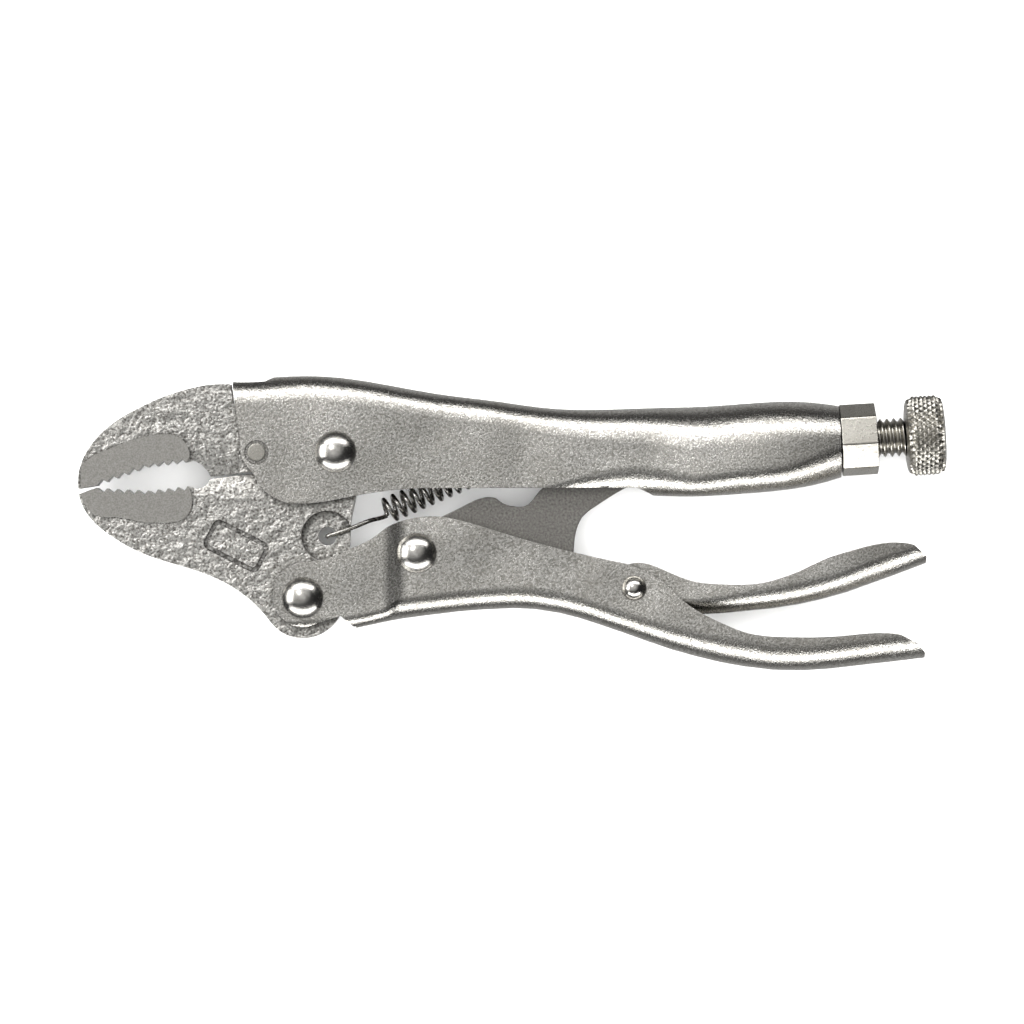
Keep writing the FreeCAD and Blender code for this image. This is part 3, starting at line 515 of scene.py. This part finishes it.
class PLIERS_OT_adjuster(bpy.types.Operator):
    """Make the screw's thread and the knurled knob, and finish the end nut"""
    bl_idname = "pliers.adjuster"
    bl_label = "Nut, screw and knob"

    def execute(self, context):
        chosen = settings("adjuster_settings")
        material = bright_turned_steel()
        nut = copy_of("end_nut", "end_nut_octagon")
        round_edges(nut, 0.3 * MM, angle=30.0)
        smooth(nut)
        finish_piece(nut, "upper_body", material, ("end_nut",))

        start, end = span_on_screw("adjusting_screw")
        crest = reach("adjusting_screw")
        root = crest - chosen.thread_depth
        pitch = chosen.pitch
        # One turn's section: a narrow root, a rising flank, a crest and a falling flank.
        profile = ((root, 0.0), (root, 0.12 * pitch), (crest, 0.48 * pitch), (crest, 0.60 * pitch),
                   (root, 0.96 * pitch), (root, pitch))
        thread = outline_strip(profile, "adjusting_screw_thread")
        turns = math.ceil((end - start) / pitch) + 2        # one spare turn at each end, to be cut flat
        wind(thread, pitch, turns, 40)
        cut_flat(thread, pitch, True)
        cut_flat(thread, pitch + end - start, False)
        to_axis(thread, SCREW_ORIGIN + SCREW_AXIS * (start - pitch), SCREW_AXIS)
        smooth(thread, 30.0)
        finish_piece(thread, "screw_body", material, ("adjusting_screw",))

        start, end = span_on_screw("adjusting_knob")
        radius = reach("adjusting_knob")
        knob = knurled_knob(radius, end - start, chosen.knurls, chosen.knurl_depth)
        to_axis(knob, SCREW_ORIGIN + SCREW_AXIS * start, SCREW_AXIS)
        smooth(knob, 24.0)
        finish_piece(knob, "knob_body", material, ("adjusting_knob",))
        return {"FINISHED"}


def knurled_knob(radius, length, knurls, depth):
    """A turned knob along Z whose rim is cut by two opposite sets of helical grooves."""
    rows = 44
    sides_per_knurl = 8
    slant = 1.15                # a diamond's length over its width
    rim_start = 0.9 * MM
    rim_end = length - rim_start
    # Points of the rounded end, each so far in from the rim and so far up from the face.
    rounding = ((2.4 * MM, 0.0), (1.5 * MM, 0.12 * MM), (0.7 * MM, 0.42 * MM))
    profile = [(0.0, 0.0)]
    profile += [(radius - inward, height) for inward, height in rounding]
    for row in range(rows + 1):
        profile.append((radius, rim_start + (rim_end - rim_start) * row / rows))
    profile += [(radius - inward, length - height) for inward, height in reversed(rounding)]
    profile += [(0.6 * radius, length), (0.0, length)]
    knob = outline_strip(profile, "adjusting_knob_knurled")
    wind(knob, 0.0, 1, knurls * sides_per_knurl)
    pitch = 2 * math.pi * radius / knurls
    for vertex in knob.data.vertices:
        place = vertex.co
        outward = math.hypot(place.x, place.y)
        on_the_rim = outward > radius - 0.01 * MM
        if not on_the_rim:
            continue
        round_place = math.atan2(place.y, place.x) * knurls / (2 * math.pi)
        along = (place.z - rim_start) / (slant * pitch)
        ridges = [abs(((round_place + sign * along) % 1.0) - 0.5) * 2 for sign in (1, -1)]
        groove = min(1.0, 1.25 * max(ridges))
        from_end = min(place.z - rim_start, rim_end - place.z)
        chamfer = 0.55 * max(0.0, 1 - from_end / (0.6 * MM)) * MM
        shrunk = radius - depth * groove ** 1.3 - chamfer
        place.x *= shrunk / outward
        place.y *= shrunk / outward
    return knob


def beside_pivot(x, y, z=0.0):
    """A place in metres, given in millimetres from the jaw's pivot."""
    return JAW_PIVOT + Vector((x, y, z)) * MM


class PLIERS_OT_return_spring(bpy.types.Operator):
    """Wind the return spring and bend its two ends"""
    bl_idname = "pliers.return_spring"
    bl_label = "Return spring"

    def execute(self, context):
        chosen = settings("spring_settings")
        wire = chosen.wire / 2
        middle = chosen.coil / 2 - wire
        coil_start = beside_pivot(10.1, -12.2)
        coil_end = beside_pivot(43.2, 2.2)
        along = coil_end - coil_start
        turns = round(along.length / chosen.pitch)
        bpy.ops.object.select_all(action="DESELECT")
        bpy.ops.mesh.primitive_circle_add(vertices=12, radius=wire, location=(middle, 0, 0),
                                          rotation=(math.pi / 2, 0, 0))
        coils = bpy.context.object
        coils.name = "return_spring_coils"
        bpy.ops.object.transform_apply(location=True, rotation=True, scale=True)
        wind(coils, along.length / turns, turns, 28)
        to_axis(coils, coil_start, along.normalized())
        eye = beside_pivot(-1.76, -17.3)
        half_web = 1.6 * MM         # half the thickness of the jaw's web round the eye
        over = Vector((0, 0, half_web + 0.8 * chosen.wire))
        turn = Vector((0, 0, 1)).rotation_difference(along.normalized())
        start_point = coil_start + turn @ Vector((middle, 0, 0))
        end_point = coil_end + turn @ Vector((middle, 0, 0))
        lead = bent_wire([start_point, start_point - along.normalized() * 1.2 * MM,
                          beside_pivot(7.0, -14.0, 1.2), beside_pivot(3.4, -15.6, 2.2),
                          eye + over, eye + over * 0.4, eye - over], wire, "return_spring_hook")
        tail_end = beside_pivot(48.0, 4.6, 0.4)
        tail = bent_wire([end_point, end_point + along.normalized() * 1.6 * MM, tail_end], wire,
                         "return_spring_tail")
        select_only(coils)
        for piece in (lead, tail):
            piece.select_set(True)
        bpy.ops.object.join()
        smooth(coils, 60.0)
        coils.name = "return_spring_wire"
        finish_piece(coils, "upper_body", oiled_spring_wire(), ("return_spring",))
        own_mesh(coils)
        return {"FINISHED"}


def bent_wire(points, radius, name):
    """A wire along a smooth path through these points, as a closed mesh."""
    bpy.ops.object.select_all(action="DESELECT")
    bpy.ops.curve.primitive_nurbs_path_add()
    curve = bpy.context.object
    curve.name = name
    spline = curve.data.splines[0]
    if len(points) > len(spline.points):
        spline.points.add(len(points) - len(spline.points))
    route = list(points) + [points[-1]] * (len(spline.points) - len(points))
    for place, point in zip(spline.points, route):
        place.co = (*point, 1.0)
    spline.order_u = 3
    spline.use_endpoint_u = True
    curve.data.bevel_depth = radius
    curve.data.bevel_resolution = 4
    curve.data.use_fill_caps = True
    bpy.ops.object.convert(target="MESH")
    return bpy.context.object


# Each light's name, place and size in metres, power in watts, and whether the metal mirrors it.
LIGHTS = (
    ("far_side_light", (0.0, 1.0, 0.78), (2.4, 0.40), 17.0, True),
    ("near_side_light", (0.0, -1.0, 0.44), (2.4, 0.36), 18.0, True),
    ("left_light", (-1.05, 0.1, 0.62), (0.9, 0.5), 10.0, True),
    ("key_light", (-0.45, 0.55, 1.25), (0.35, 0.35), 3.0, True),
    ("floor_light", (0.0, 0.0, 2.6), (3.0, 3.0), 190.0, False),
)
BRIGHT_SKY = (-0.22, 0.30, 0.93)        # the direction of the studio's bright ceiling
SENSOR = 36.0


class PLIERS_OT_stage(bpy.types.Operator):
    """Lay the floor and set the lights and the camera"""
    bl_idname = "pliers.stage"
    bl_label = "Floor, lights and camera"

    def execute(self, context):
        chosen = settings("stage_settings")
        bpy.ops.object.select_all(action="DESELECT")
        bpy.ops.mesh.primitive_plane_add(size=6.0, location=(0, 0, -0.02 * MM))
        floor = context.object
        floor.name = "floor"
        material, _, shader, _ = new_material("matt_white_card")
        shader.inputs["Base Color"].default_value = linear(chosen.floor)
        shader.inputs["Roughness"].default_value = 0.9
        floor.data.materials.append(material)
        floor.visible_glossy = False

        for name, place, size, power, reflected in LIGHTS:
            light = bpy.data.objects.new(name, bpy.data.lights.new(name, "AREA"))
            bpy.context.scene.collection.objects.link(light)
            light.data.shape = "RECTANGLE"
            light.data.size, light.data.size_y = size
            light.data.energy = power
            light.location = place
            light.rotation_euler = (-Vector(place)).to_track_quat("-Z", "Y").to_euler()
            light.visible_glossy = reflected

        # A dark room with a bright ceiling, and a paler half below the floor's level.
        world = bpy.data.worlds.new("studio")
        world.use_nodes = True
        sky = world.node_tree
        way = node(sky, "ShaderNodeTexCoord").outputs["Generated"]
        height = node(sky, "ShaderNodeSeparateXYZ", links={0: way}).outputs["Z"]
        towards_top = node(sky, "ShaderNodeVectorMath", settings={"operation": "DOT_PRODUCT"},
                           inputs={1: BRIGHT_SKY}, links={0: way}).outputs["Value"]
        rise = spread(sky, towards_top, 0.0, 1.0, 0.62, 0.97)
        fall = spread(sky, height, 0.0, 1.0, -0.20, -0.70)
        dome = blend_colours(sky, fall, blend_colours(sky, rise, "#19191B", "#E6E6E6"), "#BEBEBE")
        sky.links.new(dome, sky.nodes["Background"].inputs["Color"])
        sky.nodes["Background"].inputs["Strength"].default_value = 1.0
        context.scene.world = world
        context.scene.view_settings.view_transform = "Standard"

        camera = bpy.data.objects.new("camera", bpy.data.cameras.new("camera"))
        bpy.context.scene.collection.objects.link(camera)
        camera.location = (0.0, 2.3 * MM, chosen.distance)
        camera.rotation_euler = (0, 0, 0)
        camera.data.sensor_width = SENSOR
        camera.data.lens = SENSOR * chosen.distance / chosen.width
        camera.data.clip_end = 20.0
        context.scene.camera = camera
        return {"FINISHED"}


class PLIERS_PT_panel(bpy.types.Panel):
    """The steps that finish the pliers, in order"""
    bl_idname = "PLIERS_PT_panel"
    bl_label = "Locking pliers"
    bl_space_type = "VIEW_3D"
    bl_region_type = "UI"
    bl_category = "Pliers"

    def draw(self, context):
        for operator in OPERATORS:
            self.layout.operator(operator.bl_idname)
        for group in SETTINGS:
            box = self.layout.box()
            for name in SETTINGS[group].__annotations__:
                box.prop(settings(group), name)


OPERATORS = (PLIERS_OT_pressings, PLIERS_OT_forgings, PLIERS_OT_link, PLIERS_OT_rivets, PLIERS_OT_adjuster,
             PLIERS_OT_return_spring, PLIERS_OT_stage)
SETTINGS = {
    "pressing_settings": PressingSettings,
    "forging_settings": ForgingSettings,
    "adjuster_settings": AdjusterSettings,
    "spring_settings": SpringSettings,
    "stage_settings": StageSettings,
}


def register():
    for group, kind in SETTINGS.items():
        bpy.utils.register_class(kind)
        setattr(bpy.types.Scene, group, PointerProperty(type=kind))
    for kind in (*OPERATORS, PLIERS_PT_panel):
        bpy.utils.register_class(kind)


def unregister():
    for kind in (PLIERS_PT_panel, *reversed(OPERATORS)):
        bpy.utils.unregister_class(kind)
    for group, kind in SETTINGS.items():
        delattr(bpy.types.Scene, group)
        bpy.utils.unregister_class(kind)


def main():
    register()
    bpy.ops.pliers.pressings()
    bpy.ops.pliers.forgings()
    bpy.ops.pliers.link()
    bpy.ops.pliers.rivets()
    bpy.ops.pliers.adjuster()
    bpy.ops.pliers.return_spring()
    bpy.ops.pliers.stage()


if __name__ == "__main__":
    main()
